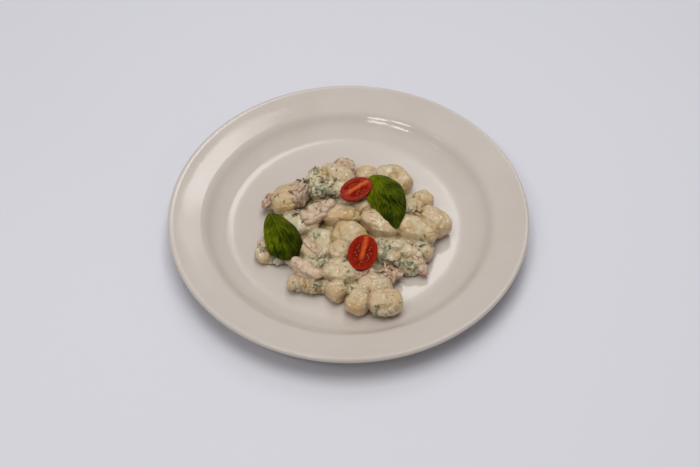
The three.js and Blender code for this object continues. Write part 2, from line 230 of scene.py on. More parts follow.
# Strips torn from chicken and bacon: x, y, reach, number, main turn, browned
TORN = [
    (-39, 21, 5, 6, 60, 0.45),
    (-36, 13, 5, 6, -70, 0.55),
    (-34, 7, 2.5, 2, 20, 0.9),
    (-60.5, 16, 3, 5, 70, 1.0),
    (-20, 1, 6, 4, 40, 0.05),
    (8, -56, 3, 3, 10, 0.9),
    (27, -53, 4, 6, 70, 0.5),
    (32, -58, 2.5, 3, -60, 0.4),
    (51.5, -45, 2.5, 2, -80, 0.4),
    (-16.5, 27.5, 1, 1, -20, 1.0),
    (32.5, -58, 1.5, 2, -72, 0.3),
]

# Chopped herbs gathered in creases: x, y, reach, number
HERBS = [
    (-27, 42, 4, 5), (-21, 36, 4, 4), (-24, 25, 8, 5), (-12, 17, 5, 3), (-19, -48, 4, 4),
    (-34, -65, 5, 5), (-24, -67, 4, 5), (8, -71, 4, 5), (26, -87, 6, 5), (19, -82, 4, 4),
    (-2, -52, 4, 3), (50, -28, 7, 6), (62, -30, 4, 3), (-30, -13, 5, 3), (32, 44, 5, 3),
    (-8, 30, 5, 2), (23, -30, 6, 5), (34, -42, 6, 4), (46, -44, 5, 4), (-40, -2, 5, 4),
    (-62, -33, 5, 5), (46, 4, 3, 3), (36, -82, 3, 3), (-5, -35, 3, 2), (0, -66, 4, 3),
]

# Tomato halves: place of the cut face, sizes, turn, lean and roll, how far the core runs,
# and the seed chambers as middle and reach along and across the face
TOMATOES = {
    "tomato_half_back": {
        "at": (5.7, 15.5, 30.5), "half_length": 13.6, "half_width": 9.2, "depth": 9,
        "turn": 38, "lean": 0, "roll": 8, "core": (-0.75, 0.9, 0.06),
        "chambers": [(0.02, -0.40, 0.56, 0.25), (-0.05, 0.50, 0.50, 0.15)],
    },
    "tomato_half_front": {
        "at": (10.4, -43, 26.8), "half_length": 13.6, "half_width": 10.7, "depth": 9.6,
        "turn": 75, "lean": 20, "roll": 4, "core": (-0.45, 0.95, 0.0),
        "chambers": [(0.0, 0.42, 0.62, 0.26), (0.02, -0.43, 0.60, 0.26), (-0.62, -0.02, 0.18, 0.26)],
    },
}

# Basil leaves: midrib from the stalk to the tip in plan, widths at each side, and heights. The veins
# slant towards the tip. crumpled is x, y and reach of a patch. The tones are how pale the leaf is
# painted at its stalk, and how much of that it loses towards the tip and towards its left side: painted
# light and shade over the leaf's own green.
LEAVES = {
    "basil_leaf_left": {
        "midrib": ((-58.5, -3), (-51, -20), (-44.5, -42)),
        "left_width": 15, "right_width": 11.7, "widest": 0.68, "fullness": 0.62,
        "stalk_height": 24.5, "tip_height": 17.5, "rise": 5.5, "droop_left": 8, "droop_right": 3.5,
        "waves": 3, "vein_gap": 4.6, "slant": 1.5,
        "crumpled": (-48, -33, 12), "light_tones": (0.7, 0.6, 0.04),
    },
    "basil_leaf_right": {
        "midrib": ((16.5, 31), (32.5, 18), (34.8, -19.5)),
        "left_width": 13, "right_width": 14.5, "widest": 0.45, "fullness": 0.68,
        "stalk_height": 27.5, "tip_height": 26.3, "rise": 3.2, "droop_left": 3, "droop_right": 4,
        "waves": 3, "vein_gap": 5.2, "slant": 1.6,
        "crumpled": (29, 4, 9), "light_tones": (1.15, 1.3, 0.02),
    },
}

# Lamps behind the plate, as they show in the glaze: bearing, height, half width and half height in
# degrees, and brightness
BACK_LAMPS = [
    (13.5, 57, 5.7, 8.5, 1.6),
    (13, 55.5, 5.1, 5.5, 0.9),
    (12, 52, 6.2, 9.5, 0.8),
    (9, 51, 8, 11, 0.4),
]

# Other lamps: name, direction, distance, width and height in metres, brightness, shift aside, colour
FRONT_LAMPS = [
    ("front_lamp", (-0.34, -0.44, 0.83), 1.8, (0.30, 0.22), 7.6, -0.195, (1, 1, 1)),
    ("front_lamp", (-0.34, -0.44, 0.83), 1.8, (0.30, 0.22), 7.6, 0.195, (1, 1, 1)),
    ("warm_lamp", (-0.60, -0.06, 0.80), 1.8, (0.16, 0.10), 3, 0, (1, 0.86, 0.78)),
]


# Repeatable unevenness
def draw(seed, step):
    value = math.sin(seed * 127.1 + step * 311.7) * 43758.5453
    return 2 * (value - math.floor(value)) - 1


def ripple(spot, size, seed=0):
    return noise.noise(Vector(spot) / size + Vector((seed * 7.31, seed * 3.17, seed * 5.73)))


def ramp(value, start, end):
    share = min(1, max(0, (value - start) / (end - start)))
    return share * share * (3 - 2 * share)


def near(x, y, places):
    """One in the middle of some places and less further out. A place is x, y and reach."""
    share = 0
    for at_x, at_y, reach in places:
        share += math.exp(-((x - at_x) ** 2 + (y - at_y) ** 2) / (reach * reach))
    return min(1, share)


def limited(value):
    return min(1, max(0, value))


def lumps(spot, size, seed):
    """One on top of rounded lumps of about size millimetres, nothing in the creases between them."""
    warped = Vector(spot) + 0.8 * size * noise.noise_vector(Vector(spot) / size)
    away = noise.voronoi(warped / size + Vector((seed * 7.31, seed * 3.17, seed * 5.73)))[0]
    return ramp(away[1] - away[0], 0, 0.5)


# Materials. Colours are given as they look on screen.
MOIST = {"Coat_Weight": 0.9, "Coat_Roughness": 0.09}


def paint(red, green, blue):
    def straight(value):
        value /= 255
        return value / 12.92 if value <= 0.04045 else ((value + 0.055) / 1.055) ** 2.4
    return (straight(red), straight(green), straight(blue), 1)


def new_material(name, **settings):
    material = bpy.data.materials.new(name)
    material.use_nodes = True
    shader = material.node_tree.nodes["Principled BSDF"]
    for setting, value in settings.items():
        shader.inputs[setting.replace("_", " ")].default_value = value
    return material


def soften(material, weight, radius, scale):
    shader = material.node_tree.nodes["Principled BSDF"]
    shader.inputs["Subsurface Weight"].default_value = weight
    shader.inputs["Subsurface Radius"].default_value = radius
    shader.inputs["Subsurface Scale"].default_value = scale


def join(material, source, target):
    material.node_tree.links.new(source, target)


def dress(material, setting, source):
    join(material, source, material.node_tree.nodes["Principled BSDF"].inputs[setting])


def place(material):
    return material.node_tree.nodes.new("ShaderNodeTexCoord").outputs["Object"]


def attribute(material, name):
    made = material.node_tree.nodes.new("ShaderNodeAttribute")
    made.attribute_name = name
    return made.outputs["Fac"]


def grain(material, size, start=0.35, end=0.65, detail=3):
    """Cloudy noise with patches of about size millimetres, spread between start and end."""
    made = material.node_tree.nodes.new("ShaderNodeTexNoise")
    made.inputs["Scale"].default_value = 1 / (size * MM)
    made.inputs["Detail"].default_value = detail
    join(material, place(material), made.inputs["Vector"])
    return spread(material, made.outputs["Fac"], start, end)


def spread(material, source, start, end, low=0, high=1):
    made = material.node_tree.nodes.new("ShaderNodeMapRange")
    made.inputs["From Min"].default_value = start
    made.inputs["From Max"].default_value = end
    made.inputs["To Min"].default_value = low
    made.inputs["To Max"].default_value = high
    join(material, source, made.inputs["Value"])
    return made.outputs["Result"]


def combine(material, kind, first, second):
    made = material.node_tree.nodes.new("ShaderNodeMath")
    made.operation = kind
    for slot, value in zip(made.inputs, (first, second)):
        if isinstance(value, (int, float)):
            slot.default_value = value
        else:
            join(material, value, slot)
    return made.outputs["Value"]


def blend(material, share, first, second):
    made = material.node_tree.nodes.new("ShaderNodeMix")
    made.data_type = "RGBA"
    join(material, share, made.inputs["Factor"])
    for slot, colour in ((made.inputs[6], first), (made.inputs[7], second)):
        if isinstance(colour, tuple):
            slot.default_value = colour
        else:
            join(material, colour, slot)
    return made.outputs[2]


def relief(material, height, depth, below=None):
    made = material.node_tree.nodes.new("ShaderNodeBump")
    made.inputs["Distance"].default_value = depth * MM
    join(material, height, made.inputs["Height"])
    if below:
        join(material, below, made.inputs["Normal"])
    return made.outputs["Normal"]


def glaze():
    material = new_material("stoneware_glaze", Roughness=0.11, IOR=1.5)
    clouds = grain(material, 40, 0.3, 0.7)
    body = blend(material, clouds, paint(203, 193, 184), paint(199, 188, 178))
    specks = grain(material, 1.2, 0.70, 0.78, 2)
    dotted = blend(material, combine(material, "MULTIPLY", specks, 0.25), body, paint(170, 155, 138))
    height = material.node_tree.nodes.new("ShaderNodeSeparateXYZ")
    join(material, place(material), height.inputs["Vector"])
    foot = spread(material, height.outputs["Z"], 0.0009, 0.0003)
    dress(material, "Base Color", blend(material, foot, dotted, paint(214, 204, 190)))
    dress(material, "Roughness", spread(material, foot, 0, 1, 0.11, 0.75))
    dress(material, "Normal", relief(material, grain(material, 9, 0, 1, 1), 0.05))
    return material


def dough_colour(material):
    # The gold mark mixes the dough's own golden tint with painted shade underneath and in creases
    gold_and_shade = attribute(material, "gold_and_shade")
    plain = blend(material, grain(material, 6), paint(203, 175, 134), paint(213, 188, 150))
    golden = blend(material, grain(material, 4), paint(207, 174, 120), paint(194, 156, 100))
    return blend(material, gold_and_shade, plain, golden)


def potato_dough():
    material = new_material("potato_dough_in_cream", Specular_IOR_Level=0.7, **MOIST)
    soften(material, 0.35, (1.0, 0.6, 0.3), 0.0022)
    # Painted shade: darker brown where the spot is closed in, in creases and between pieces
    deep = combine(material, "MULTIPLY", attribute(material, "hollow_shade"), 0.65)
    dress(material, "Base Color", blend(material, deep, dough_colour(material), paint(140, 108, 66)))
    dress(material, "Roughness", spread(material, grain(material, 2.2), 0, 1, 0.14, 0.34))
    coarse = relief(material, grain(material, 2.4, 0, 1, 4), 0.9)
    dress(material, "Normal", relief(material, grain(material, 0.7, 0, 1, 2), 0.1, coarse))
    return material


def cream_sauce():
    material = new_material("spinach_cream_sauce", Specular_IOR_Level=0.8, **MOIST)
    soften(material, 0.35, (1.0, 0.75, 0.45), 0.0022)
    green = attribute(material, "green")
    thin = blend(material, grain(material, 6), paint(199, 182, 143), paint(211, 196, 160))
    streak = combine(material, "MULTIPLY", grain(material, 2.8, 0.46, 0.6, 5), 0.7)
    cream = blend(material, streak, thin, paint(226, 214, 184))
    veiled = spread(material, grain(material, 5, 0.3, 0.7), 0, 1, 0.55, 1)
    dough = combine(material, "MULTIPLY", attribute(material, "dough"), veiled)
    coated = blend(material, dough, cream, dough_colour(material))
    meaty = blend(material, attribute(material, "meaty"), coated, paint(205, 168, 140))
    herby = blend(material, grain(material, 1.8, 0.4, 0.62, 4), paint(92, 96, 64), paint(168, 167, 134))
    body = blend(material, green, meaty, herby)
    crumbs = grain(material, 0.9, 0.67, 0.71, 2)
    share = combine(material, "MULTIPLY", crumbs, combine(material, "ADD", 0.2, green))
    speckled = blend(material, share, body, paint(108, 114, 84))
    # Painted shade: darker brown where the spot is closed in, in creases and between pieces
    deep = combine(material, "MULTIPLY", attribute(material, "hollow_shade"), 0.5)
    dress(material, "Base Color", blend(material, deep, speckled, paint(142, 118, 74)))
    dress(material, "Roughness", spread(material, grain(material, 3), 0, 1, 0.1, 0.28))
    coarse = relief(material, grain(material, 2.2, 0, 1, 4), 1.15)
    dress(material, "Normal", relief(material, grain(material, 0.6, 0, 1, 2), 0.1, coarse))
    return material


def wilted_spinach():
    material = new_material("wilted_spinach", Roughness=0.32, Specular_IOR_Level=0.4)
    tone = attribute(material, "tone")
    deep = blend(material, grain(material, 2), paint(46, 48, 26), paint(92, 94, 62))
    fresh = blend(material, grain(material, 2), paint(126, 129, 88), paint(168, 167, 128))
    leafy = blend(material, tone, deep, fresh)
    smear = combine(material, "MULTIPLY", grain(material, 2.4, 0.38, 0.56, 4), 0.9)
    dress(material, "Base Color", blend(material, smear, leafy, paint(202, 193, 166)))
    dress(material, "Normal", relief(material, grain(material, 0.9, 0, 1, 3), 0.2))
    return material


def chopped_herbs():
    material = new_material("chopped_herbs", Roughness=0.45, Specular_IOR_Level=0.3)
    leafy = blend(material, attribute(material, "tone"), paint(84, 86, 48), paint(146, 142, 100))
    dress(material, "Base Color", leafy)
    dress(material, "Normal", relief(material, grain(material, 0.5, 0, 1, 2), 0.1))
    return material


def cooked_meat():
    material = new_material("chicken_and_bacon", Roughness=0.2, Specular_IOR_Level=0.8)
    soften(material, 0.25, (1.0, 0.5, 0.35), 0.002)
    browned = attribute(material, "browned")
    chicken = blend(material, grain(material, 3), paint(212, 185, 155), paint(202, 169, 139))
    patches = grain(material, 2.5, 0.42, 0.58, 4)
    rosy = blend(material, patches, paint(198, 160, 134), paint(152, 108, 80))
    body = blend(material, browned, chicken, rosy)
    cream = combine(material, "MULTIPLY", grain(material, 2.6, 0.46, 0.58, 4), 0.7)
    coated = blend(material, cream, body, paint(216, 198, 172))
    # Painted shade: darker brown where the spot is closed in, in folds and between pieces
    deep = combine(material, "MULTIPLY", attribute(material, "hollow_shade"), 0.7)
    dress(material, "Base Color", blend(material, deep, coated, paint(112, 78, 50)))
    dress(material, "Normal", relief(material, grain(material, 1.3, 0, 1, 4), 0.5))
    return material


def tomato_flesh():
    material = new_material("tomato_flesh_and_skin", Roughness=0.12, Specular_IOR_Level=0.16)
    soften(material, 0.1, (1.0, 0.3, 0.15), 0.001)
    wall = blend(material, grain(material, 2), paint(154, 32, 4), paint(130, 20, 2))
    gel = blend(material, grain(material, 1.3, 0.4, 0.6, 3), paint(100, 4, 0), paint(136, 20, 4))
    inside = blend(material, attribute(material, "chamber"), wall, gel)
    fibre = blend(material, grain(material, 1.2), paint(206, 100, 44), paint(184, 68, 22))
    cored = blend(material, attribute(material, "core"), inside, fibre)
    seeded = blend(material, attribute(material, "seed"), cored, paint(176, 84, 34))
    skin = blend(material, grain(material, 5), paint(130, 10, 0), paint(144, 18, 4))
    whole = blend(material, attribute(material, "skin"), seeded, skin)
    # Painted highlight: a slightly paler ring round the cut, for the skin's highlight
    dress(material, "Base Color", blend(material, attribute(material, "rim"), whole, paint(158, 36, 16)))
    dress(material, "Normal", relief(material, grain(material, 0.9, 0, 1, 3), 0.25))
    return material


def basil():
    material = new_material("basil", Roughness=0.36, Specular_IOR_Level=0.07)
    # Painted light and shade: the pale mark mixes a shaded and a lit copy of the leaf's green
    pale_and_lit = attribute(material, "pale_and_lit")
    shaded_green = blend(material, grain(material, 5), paint(42, 53, 0), paint(29, 39, 0))
    lit_green = blend(material, grain(material, 4), paint(102, 112, 4), paint(88, 99, 0))
    blade = blend(material, pale_and_lit, shaded_green, lit_green)
    veins = combine(material, "MULTIPLY", attribute(material, "vein"), 0.45)
    ribbed = blend(material, veins, blade, paint(112, 124, 24))
    # Painted shade: darker in the grooves and low spots
    sunk_shade = combine(material, "MULTIPLY", attribute(material, "groove_shade"), 0.8)
    dress(material, "Base Color", blend(material, sunk_shade, ribbed, paint(28, 36, 0)))
    dress(material, "Normal", relief(material, grain(material, 0.8, 0, 1, 3), 0.15))
    return material


# Shapes and pieces
def lay(verts, at, turn=0, tilt=0, roll=0):
    turned = Matrix.Rotation(math.radians(turn), 4, "Z")
    turned @= Matrix.Rotation(math.radians(-tilt), 4, "Y")
    turned @= Matrix.Rotation(math.radians(roll), 4, "X")
    turned = Matrix.Translation(at) @ turned
    for vert in verts:
        vert.co = turned @ vert.co


def swollen(v, seed, bumps, square):
    swell = 1 + bumps * math.sin(2.3 * v.x + 3 * draw(seed, 1)) * math.cos(2.1 * v.y + 3 * draw(seed, 2))
    swell += bumps * math.sin(3.1 * v.z + 2.2 * v.y + 3 * draw(seed, 3))
    return Vector([math.copysign(abs(c) ** square, c) * swell for c in v])


def add_oval(bm, size, seed, bumps, square, detail, grow=0):
    """An uneven oval with its middle at the origin, grown by so many millimetres."""
    verts = bmesh.ops.create_icosphere(bm, subdivisions=detail, radius=1)["verts"]
    for vert in verts:
        shaped = swollen(vert.co, seed, bumps, square)
        vert.co = Vector([shaped[i] * (size[i] / 2 + grow) for i in range(3)])
    return verts


def add_gnocco(bm, seed, length, width, boxy, detail, film=0):
    size = (length, width, GNOCCO_HEIGHT * width)
    return add_oval(bm, size, seed, GNOCCO_UNEVENNESS, 0.86 - 0.28 * boxy, detail, film)


def marks(bm, *names):
    """A number for each corner of the mesh under each name, for the materials."""
    return [bm.verts.layers.float.new(name) for name in names]


def piece(bm, name, material, slot, *nodes):
    for vert in bm.verts:
        vert.co *= MM
    for face in bm.faces:
        face.smooth = True
    mesh = bpy.data.meshes.new(name)
    bm.to_mesh(mesh)
    bm.free()
    made = bpy.data.objects.new(name, mesh)
    bpy.context.scene.collection.objects.link(made)
    mesh.materials.append(material)
    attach(made, "root")
    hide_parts(*nodes)


# The plate
def curve_points(points, steps):
    """Points on a Bezier curve through the first and the last point."""
    found = []
    for step in range(1, steps + 1):
        share = step / steps
        level = [Vector(p) for p in points]
        while len(level) > 1:
            level = [a.lerp(b, share) for a, b in zip(level, level[1:])]
        found.append(tuple(level[0]))
    return found


def plate_section():
    section = [(0, WELL_HEIGHT), (30, WELL_HEIGHT), (60, WELL_HEIGHT), (WELL_RADIUS, WELL_HEIGHT)]
    section += curve_points([section[-1], (83.5, WELL_HEIGHT), (88.8, WELL_HEIGHT + 0.15), COVE], 18)
    section += curve_points([COVE, (97.5, 9.52), (101.6, 10.83), WALL], 16)
    section += curve_points([WALL, (108.7, 17.69), RIM_INNER], 14)
    section += [(121, 20.6), RIM_OUTER]
    for degrees in range(80, -80, -10):
        angle = math.radians(degrees)
        out, up = LIP_RADIUS * math.cos(angle), LIP_RADIUS * math.sin(angle)
        section.append((LIP_CENTRE[0] + out, LIP_CENTRE[1] + up))
    section += [(130.4, 18.4), (121, 16), (111.5, 13.4)]
    section += curve_points([(111.5, 13.4), (104, 11), (97, 5.4), (88, 2.6)], 8)
    section += curve_points([(88, 2.6), (86.2, 2.0), (85.6, 0.2), (84.4, 0)], 6)
    section += [(81.5, 0), (78.6, 0)]
    section += curve_points([(78.6, 0), (77.6, 0.2), (77.4, 2.3), (75.5, 2.3)], 6)
    return section + [(40, 2.3), (0, 2.3)]


def plate_shape():
    bm = bmesh.new()
    verts = [bm.verts.new((r, 0, z)) for r, z in plate_section()]
    edges = [bm.edges.new(pair) for pair in zip(verts, verts[1:])]
    bmesh.ops.spin(bm, geom=verts + edges, cent=(0, 0, 0), axis=(0, 0, 1), angle=2 * math.pi,
                   steps=PLATE_STEPS, use_merge=True)
    bmesh.ops.remove_doubles(bm, verts=bm.verts, dist=0.001)
    bmesh.ops.recalc_face_normals(bm, faces=bm.faces)
    return bm


# Things that lie on the heap hold it down, and the plate holds it up
def leaf_spot(leaf, u, v):
    """Plan, height and reach from the midrib at u along the leaf and v across it."""
    start, bend, tip = [Vector(p) for p in leaf["midrib"]]
    spot = start * (1 - u) ** 2 + bend * 2 * u * (1 - u) + tip * u * u
    ahead = ((bend - start) * (1 - u) + (tip - bend) * u).normalized()
    if u < leaf["widest"]:
        bulge = math.sin(math.pi / 2 * u / leaf["widest"])
    else:
        bulge = math.cos(math.pi / 2 * (u - leaf["widest"]) / (1 - leaf["widest"]))
    bulge = max(0, bulge) ** leaf["fullness"]
    side = 2 * v - 1
    half_width = (leaf["left_width"] if side > 0 else leaf["right_width"]) * bulge + 0.5
    reach = side * half_width
    droop = (leaf["droop_left"] if side > 0 else leaf["droop_right"]) * bulge * abs(side) ** 2.2
    arch = leaf["rise"] * math.sin(math.pi * u)
    wave = 0.5 * math.sin(2 * math.pi * leaf["waves"] * u) * abs(side) * bulge
    height = leaf["stalk_height"] + (leaf["tip_height"] - leaf["stalk_height"]) * u + arch - droop + wave
    return Vector((spot.x - ahead.y * reach, spot.y + ahead.x * reach, height)), reach, bulge


def leaf_below(leaf):
    bm = bmesh.new()
    bmesh.ops.create_grid(bm, x_segments=40, y_segments=30, size=0.5)
    lower = Vector((0, 0, LEAF_THICKNESS + LEAF_GAP))
    for vert in bm.verts:
        vert.co = leaf_spot(leaf, vert.co.x + 0.5, vert.co.y + 0.5)[0] - lower
    return BVHTree.FromBMesh(bm)


def tomato_below(size):
    bm = bmesh.new()
    verts = bmesh.ops.create_uvsphere(bm, u_segments=48, v_segments=32, radius=1)["verts"]
    for vert in verts:
        reach = (size["half_length"], size["half_width"], size["depth"])
        vert.co = Vector([vert.co[i] * (reach[i] + TOMATO_GAP) for i in range(3)])
    lay(verts, size["at"], size["turn"], size["lean"], size["roll"])
    return BVHTree.FromBMesh(bm)


def hold(bm, lids, plate_tree):
    up = Vector((0, 0, 1))
    for vert in bm.verts:
        for lid in lids:
            hit = lid.ray_cast(Vector((vert.co.x, vert.co.y, BELOW_ALL)), up)[0]
            if hit and vert.co.z > hit.z:
                vert.co.z = hit.z
        if vert.co.z < NEAR_PLATE:
            floor = plate_tree.ray_cast(Vector((vert.co.x, vert.co.y, ABOVE_ALL)), -up)[0]
            if floor and vert.co.z < floor.z + PLATE_GAP:
                vert.co.z = floor.z + PLATE_GAP


# Creases, and the valleys where gnocchi meet
def crease(spot):
    """How deep the creases go at a place seen from above."""
    deepest = 0
    for x, y, end_x, end_y, bow, width, depth in CREASES:
        across, away = spot.x - (x + end_x) / 2, spot.y - (y + end_y) / 2
        if abs(across) > CREASE_REACH or abs(away) > CREASE_REACH:
            continue
        along_x, along_y = end_x - x, end_y - y
        length = math.hypot(along_x, along_y)
        share = ((spot.x - x) * along_x + (spot.y - y) * along_y) / (length * length)
        side = (along_x * (spot.y - y) - along_y * (spot.x - x)) / length - 4 * bow * share * (1 - share)
        ends = ramp(share, -0.15, 0.15) * ramp(share, 1.15, 0.85)
        deepest = max(deepest, depth * ends * math.exp(-(side / width) ** 2))
    return deepest


def beside(spot):
    """About how far a spot is from the nearest gnocco and from the next nearest."""
    found = [50, 50]
    for x, y, z, length, width, turn, *_ in GNOCCHI:
        across, away = spot.x - x, spot.y - y
        if abs(across) > GNOCCO_REACH or abs(away) > GNOCCO_REACH:
            continue
        cosine, sine = math.cos(math.radians(turn)), math.sin(math.radians(turn))
        local = Vector((across * cosine + away * sine, away * cosine - across * sine, spot.z - z))
        level = (2 * local.x / length) ** 2 + (2 * local.y / width) ** 2
        level = math.sqrt(level + (2 * local.z / width / GNOCCO_HEIGHT) ** 2)
        found.append(local.length * (1 - 1 / max(0.3, level)))
    found.sort()
    return found[0], found[1]


def cut_in(spot):
    """How far the surface draws in at a spot, in creases and where two gnocchi meet."""
    nearest, next_one = beside(spot)
    valley = ramp(next_one - nearest, 2.4, 0.2) * ramp(nearest, 3.5, 1.5)
    valley *= ramp(ripple(spot, 11, 33), -0.4, 0)
    return max(0.8 * valley, crease(spot))


# Gnocchi and meat
def gnocchi_shape():
    bm = bmesh.new()
    gold_and_shade, = marks(bm, "gold_and_shade")
    for seed, (x, y, z, length, width, turn, _, tint, boxy) in enumerate(GNOCCHI):
        verts = add_gnocco(bm, seed, length, width, boxy, GNOCCO_DETAIL)
        for vert in verts:
            out = vert.co.normalized()
            fold = math.exp(-(ripple(vert.co, 13, seed + 60) / 0.06) ** 2)
            fold *= ramp(ripple(vert.co, 15, seed + 21), -0.05, 0.25)
            dent = 1.4 * ripple(vert.co, 8, seed) + 0.25 * ripple(vert.co, 2.8, seed + 40) - 0.6 * fold
            vert.co += out * dent
            # Golden tint: the gnocco's own and random patches, plus painted shade, more golden and
            # darker underneath than on top
            vert[gold_and_shade] = tint + 0.6 * ripple(vert.co, 9, seed + 80) - 0.7 * out.z * abs(out.z) + 0.2
        lay(verts, (x, y, z), turn)
        for vert in verts:
            out = (vert.co - Vector((x, y, z))).normalized()
            # Painted shade: more golden and darker in the creases
            vert[gold_and_shade] = limited(vert[gold_and_shade] + 0.4 * crease(vert.co))
            vert.co -= out * cut_in(vert.co) * ramp(out.z, -0.2, 0.3)
    return bm


def meat_shape():
    bm = bmesh.new()
    browned, = marks(bm, "browned")
    for seed, (x, y, z, length, width, height, turn, brown) in enumerate(MEAT):
        size = (length, width, height)
        verts = add_oval(bm, size, seed + 50, MEAT_UNEVENNESS, MEAT_SQUARENESS, CORE_DETAIL + 1)
        for vert in verts:
            out = vert.co.normalized()
            along = Vector((vert.co.x / 3, vert.co.y, vert.co.z))
            fold = math.exp(-(ripple(vert.co, 8, seed + 60) / 0.07) ** 2)
            dent = 0.7 * ripple(along, 3.4, seed) + 0.3 * ripple(along, 1.6, seed + 9)
            dent += 2.2 * ripple(vert.co, 7, seed + 20) - (0.5 + 0.6 * brown) * fold
            vert.co += out * dent
            vert[browned] = limited(brown + 0.8 * ripple(vert.co, 5, seed + 30))
        lay(verts, (x, y, z), turn)
    return bm


# The sauce is one closed skin round lumps, gnocchi and meat
def sauce_core():
    bm = bmesh.new()
    corners = [bm.verts.new((x, y, WELL_HEIGHT)) for x, y in SAUCE_OUTLINE]
    base = bm.faces.new(corners)
    grown = bmesh.ops.extrude_face_region(bm, geom=[base])["geom"]
    for item in grown:
        if isinstance(item, bmesh.types.BMVert):
            item.co.z += SAUCE_DEPTH
    for seed, (x, y, z, length, width, height, turn) in enumerate(SAUCE_LUMPS):
        verts = add_oval(bm, (length, width, height), seed + 90, 0.07, 0.9, CORE_DETAIL)
        lay(verts, (x, y, z), turn)
    for seed, (x, y, z, length, width, turn, film, _, boxy) in enumerate(GNOCCHI):
        verts = add_gnocco(bm, seed, length, width, boxy, CORE_DETAIL, film)
        lay(verts, (x, y, z), turn)
    for seed, (x, y, z, length, width, height, turn, _) in enumerate(MEAT):
        size = (length, width, height)
        verts = add_oval(bm, size, seed + 50, MEAT_UNEVENNESS, MEAT_SQUARENESS, CORE_DETAIL, -0.5)
        lay(verts, (x, y, z), turn)
    bmesh.ops.recalc_face_normals(bm, faces=bm.faces)
    return bm


def skinned(bm, voxel, smoothing):
    """One closed skin round everything in the shape, smoothed."""
    mesh = bpy.data.meshes.new("sauce_core")
    bm.to_mesh(mesh)
    bm.free()
    core = bpy.data.objects.new("sauce_core", mesh)
    bpy.context.scene.collection.objects.link(core)
    remesh = core.modifiers.new("skin", "REMESH")
    remesh.mode = "VOXEL"
    remesh.voxel_size = voxel
    smooth = core.modifiers.new("flow", "SMOOTH")
    smooth.factor = 0.5
    smooth.iterations = smoothing
    depsgraph = bpy.context.evaluated_depsgraph_get()
    finished = bpy.data.meshes.new_from_object(core.evaluated_get(depsgraph))
    bpy.data.objects.remove(core)
    skin = bmesh.new()
    skin.from_mesh(finished)
    bpy.data.meshes.remove(finished)
    skin.normal_update()
    return skin


def closeness(tree, spot, start, end):
    """One within end millimetres of a piece and nothing beyond start, with the number of its face."""
    _, _, number, away = tree.find_nearest(spot, start)
    return (0, 0) if number is None else (ramp(away, start, end), number)


def sauce_shape(dough_tree, meat_tree):
    bm = skinned(sauce_core(), SAUCE_VOXEL, SAUCE_SMOOTHING)
    green, dough, gold_and_shade, meaty = marks(bm, "green", "dough", "gold_and_shade", "meaty")
    gnocco_faces = 20 * 4 ** (GNOCCO_DETAIL - 1)
    tints = [tint for *_, tint, boxy in GNOCCHI]
    for vert in bm.verts:
        curdled = near(vert.co.x, vert.co.y, CURDS)
        big = lumps(vert.co, 6.5, 3)
        small = lumps(vert.co, 3.2, 8)
        fold = math.exp(-(ripple(vert.co, 13, 60) / 0.05) ** 2)
        fold *= ramp(ripple(vert.co, 14, 21), -0.05, 0.2)
        film = 1.1 * ripple(vert.co, 8, 1) + 0.4 * ripple(vert.co, 3.2, 2) - 0.5 * fold
        film -= cut_in(vert.co) * ramp(vert.normal.z, -0.2, 0.3)
        vert.co += vert.normal * (film + curdled * (2.2 * big + 0.5 * small - 1.4))
        share, number = closeness(dough_tree, vert.co, 2, 0.3)
        vert[dough] = share * (1 - 0.7 * curdled)
        # Golden tint of the dough under the sauce: its own, plus painted shade underneath and in the
        # creases
        tint = tints[number // gnocco_faces] + 0.4 * crease(vert.co) + 0.6 * ripple(vert.co, 9, 30)
        vert[gold_and_shade] = limited(tint - 0.7 * vert.normal.z * abs(vert.normal.z) + 0.2)
        vert[meaty] = 0.7 * closeness(meat_tree, vert.co, 1.6, 0.2)[0]
        torn = 0.5 * ripple(vert.co, 3, 5) + 0.3 * ripple(vert.co, 1.6, 6)
        leaf = max(1 - math.hypot(vert.co.x - x, vert.co.y - y) / (1.5 * reach)
                   for x, y, reach, *_ in SPINACH)
        creased = curdled * ramp(big, 0.5, 0.1) * ramp(ripple(vert.co, 9, 12), -0.1, 0.2)
        vert[green] = limited(ramp(leaf + torn, 0.25, 0.5) + 0.8 * creased)
    return bm


# Painted shade: creases and gaps are marked on the mesh by how closed in they are, and the colour is
# darkened there
def joined_tree(meshes):
    bm = bmesh.new()
    for shape in meshes:
        mesh = bpy.data.meshes.new("crease_finder")
        shape.to_mesh(mesh)
        bm.from_mesh(mesh)
        bpy.data.meshes.remove(mesh)
    tree = BVHTree.FromBMesh(bm)
    bm.free()
    return tree


def upward_ways():
    """Directions spread evenly over the upper two thirds of a ball."""
    ways = []
    for number in range(HOLLOW_WAYS):
        climb = 1 - 1.3 * (number + 0.5) / HOLLOW_WAYS
        turn = number * 2.39996
        across = math.sqrt(1 - climb * climb)
        ways.append(Vector((across * math.cos(turn), across * math.sin(turn), climb)))
    return ways


def paint_hollow_shade(bm, tree, ways):
    """How much of its surroundings each spot has close above it, evened out between neighbours, for
    painted shade.
    """
    hollow_shade, = marks(bm, "hollow_shade")
    for vert in bm.verts:
        start = vert.co + vert.normal * 0.3
        seen = [way for way in ways if way.dot(vert.normal) > 0.25]
        blocked = sum(1 for way in seen if tree.ray_cast(start, way, HOLLOW_REACH)[0])
        vert[hollow_shade] = ramp(blocked / len(seen), 0.1, 0.9) if seen else 1
    for turn in range(2):
        evened = []
        for vert in bm.verts:
            around = [edge.other_vert(vert)[hollow_shade] for edge in vert.link_edges]
            evened.append((vert[hollow_shade] + sum(around)) / (len(around) + 1))
        for vert, value in zip(bm.verts, evened):
            vert[hollow_shade] = value


